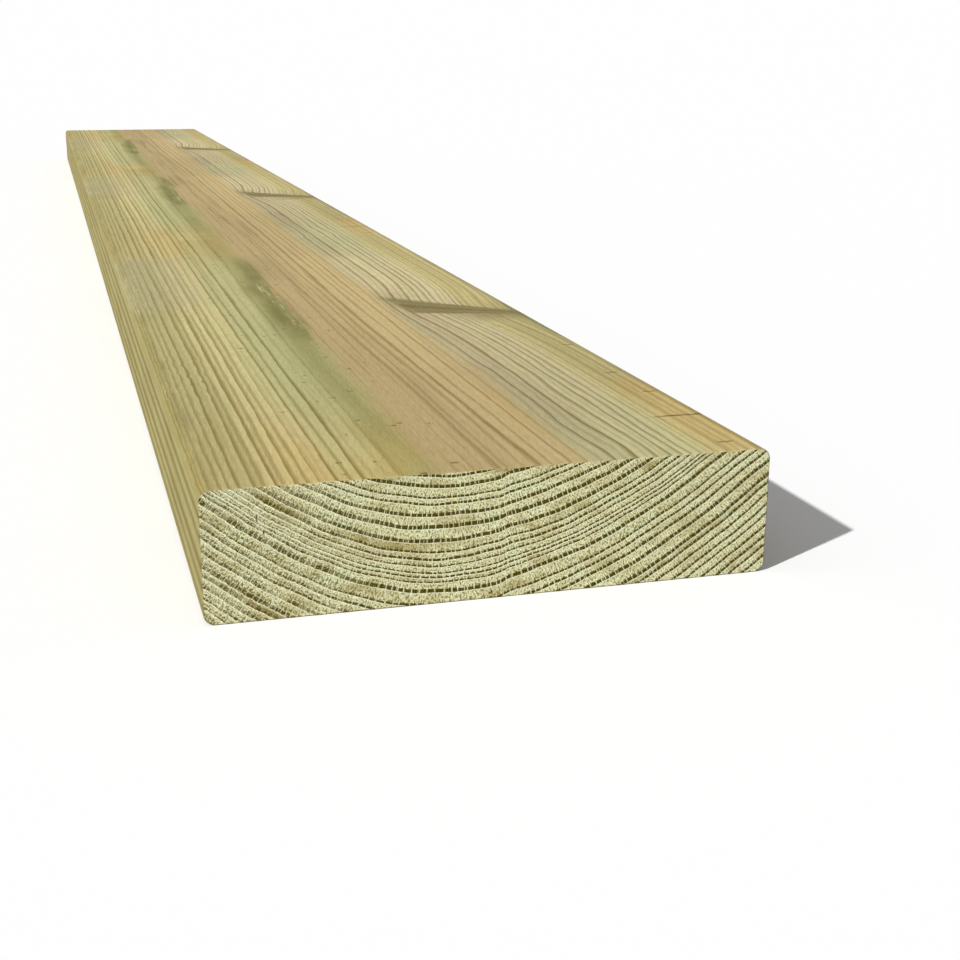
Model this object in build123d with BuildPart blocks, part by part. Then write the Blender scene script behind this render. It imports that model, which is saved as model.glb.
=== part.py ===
"""A planed and pressure-treated softwood plank, sawn square to length and lying flat.

The plank is one piece of timber. Its section is planed to a rectangle whose four long
arrises are eased to a small radius, and the section runs unchanged between two square
saw cuts, which keep their sharp edges.

Frame: +Y along the grain, +X across the face, +Z up through the thickness. The origin is
the centre of the underside. Millimetres.
"""

import os

from build123d import *

# Driving dimensions
length = 1950.0  # between the two saw cuts
face_width = 195.0  # planed width of the broad faces
thickness = 45.0  # planed height of the narrow edges
arris_radius = 4.0  # easing of the four long edges

# Plank: the planed section, carried along the grain equally far to both saw cuts
with BuildPart() as plank:
    with BuildSketch(Plane.XZ) as planed_section:
        Rectangle(face_width, thickness, align=(Align.CENTER, Align.MIN))
        fillet(planed_section.vertices(), radius=arris_radius)
    extrude(amount=length / 2, both=True)

plank.part.label = "plank"

os.makedirs("parts", exist_ok=True)
export_step(plank.part, "parts/plank.step")
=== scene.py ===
"""A planed, pressure-treated softwood plank lying on a plain white studio floor.

The plank is one closed skin worked out with numpy. Its annual rings are one solid field, so the lines on the
planed faces are the same rings that show in the sawn ends, and the relief follows them.
"""

import logging
import math
from dataclasses import dataclass
from enum import Enum
from functools import reduce
from typing import Any

import bpy
import numpy as np
from mathutils import Matrix, Vector


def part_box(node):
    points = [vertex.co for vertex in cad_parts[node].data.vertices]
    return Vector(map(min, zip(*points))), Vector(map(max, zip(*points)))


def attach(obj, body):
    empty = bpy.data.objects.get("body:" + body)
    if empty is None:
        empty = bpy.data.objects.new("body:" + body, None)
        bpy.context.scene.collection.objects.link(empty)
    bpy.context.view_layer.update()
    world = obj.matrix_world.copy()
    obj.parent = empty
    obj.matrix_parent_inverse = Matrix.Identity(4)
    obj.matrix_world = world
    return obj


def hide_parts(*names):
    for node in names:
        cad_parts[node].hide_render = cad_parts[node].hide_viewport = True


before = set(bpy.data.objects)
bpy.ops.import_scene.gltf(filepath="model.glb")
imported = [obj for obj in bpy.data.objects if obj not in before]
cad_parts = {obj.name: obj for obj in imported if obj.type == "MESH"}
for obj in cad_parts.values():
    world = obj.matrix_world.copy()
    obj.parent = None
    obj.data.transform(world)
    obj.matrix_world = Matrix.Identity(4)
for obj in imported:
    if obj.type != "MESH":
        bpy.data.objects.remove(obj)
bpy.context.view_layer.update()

log = logging.getLogger("plank")
MM = 0.001
Array = np.ndarray
Socket = bpy.types.NodeSocket
Span = tuple[float, float]


class Surface(Enum):
    """The two kinds of cut that the skin shows, in the order of its material slots."""

    PLANED_FACE = 0
    SAWN_END = 1


class End(Enum):
    """The two sawn ends, in the order of their points in the skin."""

    NEAR = 0
    FAR = 1


class Field(Enum):
    """Names of the numbers that the skin carries on its points for the finishes to read."""

    RING = "ring_number"
    SPACING = "ring_spacing"
    LINE = "line_width"
    RAY = "ray_place"


class Grain(Enum):
    """Kinds of noise in the wood: sizes along a point's axes, in its units, and number of finer layers."""

    CLOUD = ((24.0, 95.0, 24.0), 3.0)
    WAVER = ((5.0, 130.0, 5.0), 2.0)
    FIBRE = ((0.6, 45.0, 0.6), 3.0)
    BLOT = ((7.0, 40.0, 7.0), 3.0)
    RAGGED = ((1.5, 20.0, 1.5), 3.0)
    JAGGED = ((4.0, 11.0, 4.0), 3.0)
    RIPPLED = ((18.0, 75.0, 18.0), 1.0)
    HEART_STREAK = ((1.8, 190.0, 1.8), 1.0)
    KNOT_FIBRE = ((18.0, 0.3, 1.0), 3.0)
    RUB = ((3.0, 45.0, 3.0), 3.0)
    FLAKE = ((1.2, 14.0, 1.2), 3.0)
    LOOSE_FIBRE = ((0.8, 22.0, 0.8), 1.0)
    HAIR = ((0.7, 9.0, 0.7), 2.0)
    GRIT = ((0.6, 3.0, 0.6), 1.0)
    FUZZ = ((1.2, 1.2, 1.2), 2.0)
    DOT = ((0.75, 0.6, 1.0), 1.0)
    STROKE = ((0.5, 0.9, 1.0), 2.0)
    BLOTCH = ((8.0, 8.0, 5.0), 2.0)
    SPECK = ((0.75, 0.75, 0.75), 1.0)
    SWELL = ((10.0, 1.0, 1.0), 2.0)
    PATCH = ((12.0, 12.0, 6.0), 2.0)
    RED_SPOT = ((2.6, 2.6, 2.6), 1.0)


class Lot(Enum):
    """Kinds of draw that each ring makes once, as shifts that keep them apart."""

    STRENGTH = 0.0
    BAND = 5.0
    WASH = 17.0
    WIDTH = 29.0


def smooth_step(low: float, high: float, value: Array) -> Array:
    """Eases from 0 at low to 1 at high along the cubic 3s^2 - 2s^3.

    Args:
        low: Value where the step starts.
        high: Value where the step ends.
        value: Values to ease.

    Returns:
        The eased shares, from 0 to 1.
    """
    share = np.clip((value - low) / (high - low), 0.0, 1.0)
    return share * share * (3.0 - 2.0 * share)


@dataclass(frozen=True)
class Tone:
    """A colour as it looks on screen, with channels from 0 to 255."""

    red: int
    green: int
    blue: int

    def linear(self) -> tuple[float, float, float, float]:
        """Gives the colour in the linear light that shaders work in, with full alpha.

        Returns:
            Red, green, blue and alpha.
        """
        screen = np.array((self.red, self.green, self.blue)) / 255.0
        light = np.where(screen > 0.04045, ((screen + 0.055) / 1.055) ** 2.4, screen / 12.92)
        return (*(float(channel) for channel in light), 1.0)


class Signal:
    """A shader number: arithmetic on it in Python adds the Math nodes that work it out."""

    def __init__(self, graph: "NodeGraph", socket: Socket) -> None:
        """Keeps the graph that new nodes join and the socket that carries the number."""
        self.graph = graph
        self.socket = socket

    def __add__(self, other: "Signal | float") -> "Signal":
        """Adds another number."""
        return self.graph.math("ADD", self, other)

    def __radd__(self, other: float) -> "Signal":
        """Adds this number to a plain one."""
        return self.graph.math("ADD", other, self)

    def __sub__(self, other: "Signal | float") -> "Signal":
        """Takes another number away."""
        return self.graph.math("SUBTRACT", self, other)

    def __rsub__(self, other: float) -> "Signal":
        """Takes this number away from a plain one."""
        return self.graph.math("SUBTRACT", other, self)

    def __mul__(self, other: "Signal | float") -> "Signal":
        """Multiplies by another number."""
        return self.graph.math("MULTIPLY", self, other)

    def __rmul__(self, other: float) -> "Signal":
        """Multiplies a plain number by this one."""
        return self.graph.math("MULTIPLY", other, self)

    def __truediv__(self, other: "Signal | float") -> "Signal":
        """Divides by another number."""
        return self.graph.math("DIVIDE", self, other)

    def __pow__(self, power: float) -> "Signal":
        """Raises to a power."""
        return self.graph.math("POWER", self, power)

    def __abs__(self) -> "Signal":
        """Drops the sign."""
        return self.graph.math("ABSOLUTE", self)

    def fract(self) -> "Signal":
        """Keeps the part after the decimal point."""
        return self.graph.math("FRACT", self)

    def floor(self) -> "Signal":
        """Rounds down to a whole number."""
        return self.graph.math("FLOOR", self)

    def cosine(self) -> "Signal":
        """Takes the cosine of an angle in radians."""
        return self.graph.math("COSINE", self)

    def at_least(self, other: "Signal | float") -> "Signal":
        """Takes the larger of two numbers."""
        return self.graph.math("MAXIMUM", self, other)

    def at_most(self, other: "Signal | float") -> "Signal":
        """Takes the smaller of two numbers."""
        return self.graph.math("MINIMUM", self, other)

    def step(self, low: "Signal | float", high: "Signal | float") -> "Signal":
        """Eases from 0 where the number is low to 1 where it is high.

        Args:
            low: Where the step starts.
            high: Where the step ends.

        Returns:
            The eased share.
        """
        settings = {"interpolation_type": "SMOOTHSTEP"}
        sockets = {"Value": self, "From Min": low, "From Max": high}
        return self.graph.signal("ShaderNodeMapRange", settings, sockets, "Result")

    def window(self, low: float, high: float, soft: float) -> "Signal":
        """Is 1 between low and high and eases to 0 over a soft border outside them."""
        return self.step(low - soft, low) * (1 - self.step(high, high + soft))

    def near(self, middle: "Signal | float", core: float, reach: "Signal | float") -> "Signal":
        """Is 1 within a core distance of a middle and eases to 0 at its reach."""
        return 1 - abs(self - middle).step(core, reach)


class NodeGraph:
    """A node tree with short ways to add nodes and to link them."""

    def __init__(self, tree: bpy.types.NodeTree) -> None:
        """Takes over a tree and empties it."""
        self.tree = tree
        self.tree.nodes.clear()

    def node(self, kind: str, settings: dict[str, Any], sockets: dict[str, Any]) -> bpy.types.Node:
        """Adds a node, sets its settings first and then gives its sockets values or links.

        Args:
            kind: The node's type.
            settings: Values of the node's own properties, or a ramp's stops as pairs of place and tone.
            sockets: Numbers, tuples, sockets or signals, by a socket's name or identifier.

        Returns:
            The new node.
        """
        made = self.tree.nodes.new(kind)
        for name, value in settings.items():
            if name == "stops":
                self.set_stops(made.color_ramp, value)
            else:
                setattr(made, name, value)
        for name, value in sockets.items():
            self.feed(self.find(made.inputs, name), value)
        return made

    def feed(self, socket: Socket, value: Any) -> None:
        """Links a socket to a signal or another socket, or gives it a plain value.

        Args:
            socket: The input to feed.
            value: A signal, a socket or a plain value.
        """
        if isinstance(value, Signal):
            self.tree.links.new(value.socket, socket)
        elif isinstance(value, Socket):
            self.tree.links.new(value, socket)
        else:
            socket.default_value = value

    def find(self, sockets: Any, name: str) -> Socket:
        """Finds a socket by its identifier or, failing that, by its name."""
        by_identifier = [socket for socket in sockets if socket.identifier == name]
        return by_identifier[0] if by_identifier else sockets[name]

    def set_stops(self, ramp: bpy.types.ColorRamp, stops: list[tuple[float, Tone]]) -> None:
        """Gives a ramp its stops, in order, with eased colours between them.

        Args:
            ramp: The ramp, as new.
            stops: Pairs of place and tone.
        """
        ramp.interpolation = "EASE"
        for place, _ in stops[2:]:
            ramp.elements.new(place)
        for element, (place, tone) in zip(ramp.elements, stops):
            element.position = place
            element.color = tone.linear()

    def out(self, made: bpy.types.Node, name: str) -> Socket:
        """Finds an output of a node."""
        return self.find(made.outputs, name)

    def signal(self, kind: str, settings: dict[str, Any], sockets: dict[str, Any], name: str) -> Signal:
        """Adds a node and wraps one of its outputs as a number."""
        return Signal(self, self.out(self.node(kind, settings, sockets), name))

    def math(self, operation: str, *operands: "Signal | float") -> Signal:
        """Adds one Math node.

        Args:
            operation: The node's operation.
            operands: One or two numbers or signals.

        Returns:
            The node's result.
        """
        made = self.node("ShaderNodeMath", {"operation": operation}, {})
        for socket, value in zip(made.inputs, operands):
            self.feed(socket, value)
        return Signal(self, made.outputs[0])

    def blend(self, share: Any, first: Any, second: Any, mode: str = "MIX") -> Socket:
        """Mixes two colours.

        Args:
            share: How much of the second colour is taken.
            first: A colour socket or tone.
            second: A colour socket or tone.
            mode: The Mix node's blend type.

        Returns:
            The mixed colour's socket.
        """
        settings = {"data_type": "RGBA", "blend_type": mode, "clamp_factor": True}
        first, second = (side.linear() if isinstance(side, Tone) else side for side in (first, second))
        sockets = {"Factor_Float": share, "A_Color": first, "B_Color": second}
        return self.out(self.node("ShaderNodeMix", settings, sockets), "Result_Color")

    def shaded(self, colour: Socket, shade: Signal) -> Socket:
        """Multiplies a colour by a number, the same in all its channels."""
        grey = self.node("ShaderNodeCombineColor", {}, {"Red": shade, "Green": shade, "Blue": shade})
        return self.blend(1.0, colour, self.out(grey, "Color"), "MULTIPLY")

    def ramp(self, place: Signal, stops: list[tuple[float, Tone]]) -> Socket:
        """Looks a place from 0 to 1 up in a list of tones."""
        return self.out(self.node("ShaderNodeValToRGB", {"stops": stops}, {"Fac": place}), "Color")

    def vector(self, x: Any, y: Any = 0.0, z: Any = 0.0) -> Socket:
        """Joins three numbers to a vector."""
        return self.out(self.node("ShaderNodeCombineXYZ", {}, {"X": x, "Y": y, "Z": z}), "Vector")

    def noise(self, place: Socket, grain: Grain) -> Signal:
        """Samples noise that is stretched to a grain size.

        Args:
            place: The point to sample.
            grain: The kind of noise.

        Returns:
            The noise, from 0 to 1 with a mean near a half.
        """
        sizes, detail = grain.value
        scale = tuple(1.0 / size for size in sizes)
        settings = {"operation": "MULTIPLY"}
        stretched = self.node("ShaderNodeVectorMath", settings, {"Vector": place, "Vector_001": scale})
        sockets = {"Vector": self.out(stretched, "Vector"), "Scale": 1.0, "Detail": detail}
        return self.signal("ShaderNodeTexNoise", {"noise_dimensions": "3D"}, sockets, "Fac")

    def breaks(self, place: Signal) -> Signal:
        """Gives the distance to the nearest of uneven breaks, which lie about 1 apart along a line."""
        settings = {"voronoi_dimensions": "1D", "feature": "DISTANCE_TO_EDGE"}
        return self.signal("ShaderNodeTexVoronoi", settings, {"W": place, "Scale": 1.0}, "Distance")

    def scatter(self, x: Signal, y: Signal, spread: Span) -> Signal:
        """Gives the distance to the nearest of scattered points, in shares of their spread along x and y.

        Args:
            x: Place along x.
            y: Place along y.
            spread: About how far apart the points lie along x and y.

        Returns:
            The distance.
        """
        settings = {"voronoi_dimensions": "2D", "feature": "F1"}
        sockets = {"Vector": self.vector(x / spread[0], y / spread[1]), "Scale": 1.0}
        return self.signal("ShaderNodeTexVoronoi", settings, sockets, "Distance")

    def lot(self, ring: Signal, kind: Lot) -> Signal:
        """Draws a fixed number from 0 to 1 for each whole ring number."""
        sockets = {"W": ring + kind.value}
        return self.signal("ShaderNodeTexWhiteNoise", {"noise_dimensions": "1D"}, sockets, "Value")

    def carried(self, field: Field) -> Signal:
        """Reads a number that the skin carries on its points."""
        return self.signal("ShaderNodeAttribute", {"attribute_name": field.value}, {}, "Fac")

    def place_mm(self) -> Socket:
        """Gives the shaded point in the plank's own frame, in millimetres.

        Returns:
            The point.
        """
        point = self.out(self.node("ShaderNodeTexCoord", {}, {}), "Object")
        sockets = {"Vector": point, "Scale": 1.0 / MM}
        scaled = self.node("ShaderNodeVectorMath", {"operation": "SCALE"}, sockets)
        return self.out(scaled, "Vector")

    def axes(self, place: Socket) -> tuple[Signal, Signal, Signal]:
        """Splits a point into its x, y and z.

        Args:
            place: The point.

        Returns:
            The three numbers.
        """
        made = self.node("ShaderNodeSeparateXYZ", {}, {"Vector": place})
        x, y, z = (Signal(self, socket) for socket in made.outputs)
        return x, y, z

    def wood(self, colour: Socket, roughness: Signal, height: Signal, lift_mm: float) -> None:
        """Ends the graph with a dull wood shader.

        Args:
            colour: The base colour.
            roughness: The roughness.
            height: Height of the fine relief, from 0 to 1.
            lift_mm: What a height of 1 stands for.
        """
        bump_strength = 0.5
        shine = 0.08
        relief = {"Strength": bump_strength, "Distance": lift_mm * MM, "Height": height}
        bump = self.node("ShaderNodeBump", {}, relief)
        sockets = {
            "Base Color": colour,
            "Roughness": roughness,
            "Specular IOR Level": shine,
            "Normal": self.out(bump, "Normal"),
        }
        shader = self.node("ShaderNodeBsdfPrincipled", {}, sockets)
        self.node("ShaderNodeOutputMaterial", {}, {"Surface": self.out(shader, "BSDF")})


def new_material(name: str) -> tuple[bpy.types.Material, NodeGraph]:
    """Makes an empty node material and the graph that fills it.

    Args:
        name: The material's name.

    Returns:
        The material and its graph.
    """
    material = bpy.data.materials.new(name)
    material.use_nodes = True
    return material, NodeGraph(material.node_tree)


@dataclass(frozen=True)
class Repeat:
    """The even step along the plank at which knots and marks come again."""

    pitch: float = 605 * MM
    start: float = -975 * MM

    def along(self, y: Array, first_y: float) -> Array:
        """Gives the distance along the plank from the nearest of the places that repeat from a first one."""
        steps = np.round((y - first_y) / self.pitch)
        return y - first_y - steps * self.pitch

    def folded_mm(self, y_mm: Signal) -> Signal:
        """Folds a place along the plank into the first step."""
        pitch_mm, start_mm = self.pitch / MM, self.start / MM
        return ((y_mm - start_mm) / pitch_mm).fract() * pitch_mm + start_mm

    def along_mm(self, y_mm: Signal, first_mm: float) -> Signal:
        """Gives the shader's form of the distance from the nearest of the repeating places."""
        pitch_mm = self.pitch / MM
        return (((y_mm - first_mm) / pitch_mm + 0.5).fract() - 0.5) * pitch_mm

    def wave(self, y_mm: Signal, crest_mm: float) -> Signal:
        """Swings once in each step between 0 and 1, which it reaches at a crest."""
        turn = 2 * math.pi / (self.pitch / MM)
        return ((y_mm - crest_mm) * turn).cosine() * 0.5 + 0.5


@dataclass(frozen=True)
class SpikeKnots:
    """Branch knots cut along their length, which lie in the upper face at even steps along the plank.

    Each is a wedge: blunt towards the middle of the face, and thinner as it leans towards the near end and
    runs out over the right arris.
    """

    repeat: Repeat
    first_y: float = -665 * MM
    inner_x: float = 34 * MM
    blunt_slant: float = 4 * MM
    blunt_middle: float = 3 * MM
    lean: float = -0.62
    blunt_half_width: float = 28 * MM
    least_half_width: float = 5 * MM
    taper: float = -0.36
    root_depth: float = 11 * MM
    pull: float = 8 * MM
    pull_reach: float = 42 * MM
    pull_depth: float = 25 * MM
    pull_grows: Span = (24 * MM, 46 * MM)
    pull_halves: Span = (80 * MM, 97 * MM)
    blunt_border: Span = (-2 * MM, 3 * MM)
    side_border_shares: Span = (0.82, 1.06)

    def middle(self, x: Array) -> Array:
        """Gives how far a wedge's middle line lies along the plank from the knot's place."""
        return self.blunt_middle + self.lean * np.maximum(x - self.inner_x, 0.0)

    def across(self, x: Array, y: Array) -> Array:
        """Gives the place across a wedge: 0 on its middle line, -1 and 1 on its near and far sides.

        Args:
            x: Places across the plank.
            y: Places along it.

        Returns:
            The places.
        """
        narrowing = self.taper * np.maximum(x - self.inner_x, 0.0)
        half_width = np.maximum(self.blunt_half_width + narrowing, self.least_half_width)
        return (self.repeat.along(y, self.first_y) - self.middle(x)) / half_width

    def drawn_across(self, x_mm: Signal, y_mm: Signal) -> Signal:
        """Gives the shader's form of the place across a wedge.

        Args:
            x_mm: Place across the plank.
            y_mm: Place along it.

        Returns:
            The place across the wedge.
        """
        reach = (x_mm - self.inner_x / MM).at_least(0.0)
        middle = reach * self.lean + self.blunt_middle / MM
        half_width = reach * self.taper + self.blunt_half_width / MM
        off = self.repeat.along_mm(y_mm, self.first_y / MM) - middle
        return off / half_width.at_least(self.least_half_width / MM)

    def share(self, x: Array, y: Array, depth: Array) -> Array:
        """Gives 1 inside a knot, easing to 0 over its border.

        Args:
            x: Places across the plank.
            y: Places along it.
            depth: Depths below the upper face.

        Returns:
            The knots' shares.
        """
        across = self.across(x, y)
        off_axis = np.hypot(across, depth / self.root_depth)
        start = self.inner_x + self.blunt_slant * (1.0 - np.clip(across, -1.0, 1.0))
        blunt = smooth_step(*self.blunt_border, x - start)
        return blunt * (1.0 - smooth_step(*self.side_border_shares, off_axis))

    def grain_shift(self, x: Array, y: Array, depth: Array) -> Array:
        """Gives how far the grain is pushed towards the middle of the face as it passes a knot's blunt end.

        The push is a bell curve along the plank, fades below the face and is felt only beside the knots.

        Args:
            x: Places across the plank.
            y: Places along it.
            depth: Depths below the upper face.

        Returns:
            The push to the left.
        """
        off = self.repeat.along(y, self.first_y) - self.middle(x)
        bell = np.exp(-0.5 * (off / self.pull_reach) ** 2)
        beside = smooth_step(*self.pull_grows, x) * (1.0 - 0.5 * smooth_step(*self.pull_halves, x))
        return self.pull * bell * beside * np.exp(-depth / self.pull_depth)


@dataclass(frozen=True)
class DryingCracks:
    """Short cracks across the grain at the right arris: one long one in each repeat, cut as a groove."""

    repeat: Repeat
    first_y: float = -923.6 * MM
    start_x: float = 73 * MM
    half_width: float = 0.7 * MM
    depth: float = 0.9 * MM
    run_in: float = 8 * MM
    run_down: float = 9 * MM
    deep_share: float = 0.3
    drawn_core_mm: float = 0.3
    long_reach_mm: float = 1.4
    long_fade_mm: Span = (-2.0, 10.0)
    short_reach_mm: float = 1.3
    short_length_mm: float = 3.5
    short_soft_mm: float = 2.0
    short_strength: float = 0.7
    short_ones_mm: tuple[tuple[float, float], ...] = ((-786, 88), (-847, 86), (-884, 88), (-963, 84))

    def stations(self, low: float, high: float) -> Array:
        """Lists the places along the plank where the grooves start, are deepest and end.

        Args:
            low: The plank's near end.
            high: Its far end.

        Returns:
            The places.
        """
        middles = np.arange(self.first_y, high, self.repeat.pitch)
        middles = middles[(middles > low + self.half_width) & (middles < high - self.half_width)]
        return np.concatenate([middles - self.half_width, middles, middles + self.half_width])

    def sunk(self, x: Array, y: Array, depth: Array) -> Array:
        """Gives the depth of the grooves: a V along the plank that runs out over the face and down the side.

        Args:
            x: Places across the plank.
            y: Places along it.
            depth: Depths below the upper face.

        Returns:
            The grooves' depths.
        """
        groove = np.clip(1.0 - np.abs(self.repeat.along(y, self.first_y)) / self.half_width, 0.0, 1.0)
        across = smooth_step(self.start_x, self.start_x + self.run_in, x)
        down = 1.0 - smooth_step(self.deep_share * self.run_down, self.run_down, depth)
        return self.depth * groove * across * down

    def mask(self, x: Signal, repeat_y: Signal, wobble: Signal) -> Signal:
        """Is 1 in the long crack and in the short ones of each repeat, and 0 beside them.

        Args:
            x: Place across the plank in millimetres.
            repeat_y: Place along it, folded into the first repeat.
            wobble: How far the cracks stray along the plank.

        Returns:
            The cracks' share.
        """
        fade_from, fade_to = (self.start_x / MM + off_mm for off_mm in self.long_fade_mm)
        long_line = repeat_y.near(self.first_y / MM + wobble, self.drawn_core_mm, self.long_reach_mm)
        total = long_line * x.step(fade_from, fade_to)
        for y_mm, x_mm in self.short_ones_mm:
            short_line = repeat_y.near(y_mm + wobble, self.drawn_core_mm, self.short_reach_mm)
            length = x.window(x_mm, x_mm + self.short_length_mm, self.short_soft_mm)
            total = total.at_least(short_line * length * self.short_strength)
        return total


@dataclass(frozen=True)
class GrowthRings:
    """The annual rings that the plank was sawn through, as one solid field.

    A ring hangs below the heart of the log as a hyperbola. A point's depth is its height under the upper face
    plus the rise of the hyperbola there, and the ring widths say which ring that depth falls in.
    """

    upper_z: float
    near_y: float
    knots: SpikeKnots
    heart_x: float = -17.5 * MM
    bend: float = 123 * MM
    left_spread: float = 1.29
    right_spread: float = 1.09
    climb: float = 0.0006
    fold_x: float = 2.3 * MM
    fold_height: float = 0.8 * MM
    fold_half_width: float = 2 * MM
    fold_reach: float = 40 * MM
    first_depth_mm: float = -6.0
    widths_mm: tuple[float, ...] = (
        3.8, 3.8, 3.7, 3.8, 2.1, 4.0, 4.1, 4.6, 3.4, 2.5, 2.1, 2.6, 1.4, 1.6, 3.8,
        4.9, 3.0, 3.5, 4.6, 5.6, 2.7, 3.9, 3.9, 2.9, 4.3, 4.0, 3.4, 3.9, 4.0, 3.6,
    )
    dark_lines_mm: tuple[float, ...] = (
        0.8, 0.8, 1.1, 0.5, 0.7, 1.1, 1.2, 1.1, 0.5, 0.9, 0.3, 0.6, 0.5, 0.4, 1.4,
        0.6, 0.8, 0.9, 1.3, 1.2, 0.6, 0.9, 0.9, 0.6, 1.0, 0.9, 0.8, 0.9, 0.8, 0.8,
    )
    blend_mm: float = 0.8

    def wander(self, x: Array, y: Array, z: Array) -> Array:
        """Gives the rings' slow unevenness, a sum of sine waves that are long down the length.

        Args:
            x: Places across the plank.
            y: Places along it.
            z: Heights.

        Returns:
            The unevenness.
        """
        waves = (
            (0.20, 0.11, 2.6, 0.19, 0.4),
            (0.14, 0.23, -5.1, -0.27, 1.9),
            (0.12, 0.06, 11.0, 0.12, 3.1),
            (0.08, 0.47, 7.3, 0.33, 5.0),
        )
        total = np.zeros_like(x)
        for size_mm, along_x, along_y, along_z, start in waves:
            total += size_mm * np.sin(along_x * x / MM + along_y * y + along_z * z / MM + start)
        return total * MM

    def fold(self, x: Array) -> Array:
        """Gives a small fold beside the heart: each ring steps up there and slowly falls back into line.

        Args:
            x: Places across the plank.

        Returns:
            The fold's height.
        """
        off = x - self.fold_x
        step = smooth_step(-self.fold_half_width, self.fold_half_width, off)
        return self.fold_height * step * np.exp(-np.maximum(off, 0.0) / self.fold_reach)

    def depth(self, x: Array, y: Array, z: Array) -> Array:
        """Gives a point's depth below the rings' crown: height under the face plus the hyperbola's rise.

        Args:
            x: Places across the plank.
            y: Places along it.
            z: Heights.

        Returns:
            The depths.
        """
        under = self.upper_z - z
        off = x + self.knots.grain_shift(x, y, under) - self.heart_x
        spread = np.where(off < 0.0, self.left_spread, self.right_spread)
        rise = np.hypot(self.bend, spread * off) - self.bend
        return under + rise + self.climb * (y - self.near_y) + self.fold(x) + self.wander(x, y, z)

    def number(self, x: Array, y: Array, z: Array) -> Array:
        """Gives the ring number at a point: whole at the outer edge of each dark line, even in between.

        The widths are added up to depths, and the steps in slope from ring to ring are smoothed.

        Args:
            x: Places across the plank.
            y: Places along it.
            z: Heights.

        Returns:
            The ring numbers.
        """
        edges = self.first_depth_mm + np.concatenate([[0.0], np.cumsum(self.widths_mm)])
        step, above, below = 0.05, 5.0, 15.0
        far_above, far_below = 20.0, 40.0
        fine = np.arange(edges[0] - above, edges[-1] + below, step)
        mean_width = float(np.mean(self.widths_mm))
        beyond = np.array([edges[0] - far_above, *edges, edges[-1] + far_below])
        numbers = np.arange(len(edges), dtype=float)
        numbers = np.array([-far_above / mean_width, *numbers, numbers[-1] + far_below / mean_width])
        rough = np.interp(fine, beyond, numbers)
        kernel = np.hanning(int(2 * self.blend_mm / step) + 1)
        padded = np.pad(rough, len(kernel) // 2, mode="reflect", reflect_type="odd")
        even = np.convolve(padded, kernel, mode="valid") / kernel.sum()
        return np.interp(self.depth(x, y, z) / MM, fine, even)

    def slopes(self, x: Array, y: Array, z: Array) -> tuple[Array, Array]:
        """Gives how many rings lie in each millimetre along x and z, as differences over a short reach.

        Args:
            x: Places across the plank.
            y: Places along it.
            z: Heights.

        Returns:
            The slopes along x and along z.
        """
        reach = 0.4 * MM
        along_x = self.number(x + reach, y, z) - self.number(x - reach, y, z)
        along_z = self.number(x, y, z + reach) - self.number(x, y, z - reach)
        return along_x * MM / (2 * reach), along_z * MM / (2 * reach)

    def dark_line(self, number: Array) -> Array:
        """Gives the width in millimetres of the dark line that ends each ring, eased from ring to ring."""
        edges = np.arange(1, len(self.dark_lines_mm) + 1)
        return np.interp(number, edges, self.dark_lines_mm)

    def ray(self, x: Array, z: Array) -> Array:
        """Gives the place along the rings in millimetres, the same down each line that crosses them squarely.

        Such a line leaves the heart by as much depth as the integral of one over the hyperbola's slope, so
        the depth is taken off that integral, and the place where the rest of it is reached names the line.

        Args:
            x: Places across the plank.
            z: Heights.

        Returns:
            The places, below 0 on the left of the heart.
        """
        off = (x - self.heart_x) / MM
        spread = np.where(off < 0.0, self.left_spread, self.right_spread)
        bend = self.bend / MM
        half_depth = self.upper_z / MM / 2

        def integral(place: Array, side: Any) -> Array:
            """Works out the integral of one over the slope up to a place beside the heart."""
            arm = np.hypot(bend, side * place)
            return (arm - bend * np.log((bend + arm) / (side * place))) / side**2

        nearest, farthest, count = 0.01, 400.0, 2000
        table = np.geomspace(nearest, farthest, count)
        away = np.maximum(np.abs(off), 2 * nearest)
        left_over = integral(away, spread) - (self.upper_z - z) / MM + half_depth
        left = np.interp(left_over, integral(table, self.left_spread), table)
        right = np.interp(left_over, integral(table, self.right_spread), table)
        return np.where(off < 0.0, -left, right)


@dataclass(frozen=True)
class Spot:
    """A point of a planed face as its finish sees it, with the numbers that several layers share."""

    graph: NodeGraph
    place: Socket
    x: Signal
    y: Signal
    repeat_y: Signal
    upper: Signal
    depth: Signal
    cloud: Signal
    waver: Signal
    fibre: Signal
    bent_x: Signal


@dataclass(frozen=True)
class Stretch:
    """A part of the upper face that comes again in each repeat, in millimetres, with soft borders."""

    low_x: float
    high_x: float
    low_y: float
    high_y: float
    soft_x: float = 6.0
    soft_y: float = 35.0

    def share(self, spot: Spot) -> Signal:
        """Is 1 inside the stretch and eases to 0 over its borders."""
        across = spot.x.window(self.low_x, self.high_x, self.soft_x)
        return across * spot.repeat_y.window(self.low_y, self.high_y, self.soft_y)


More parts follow.
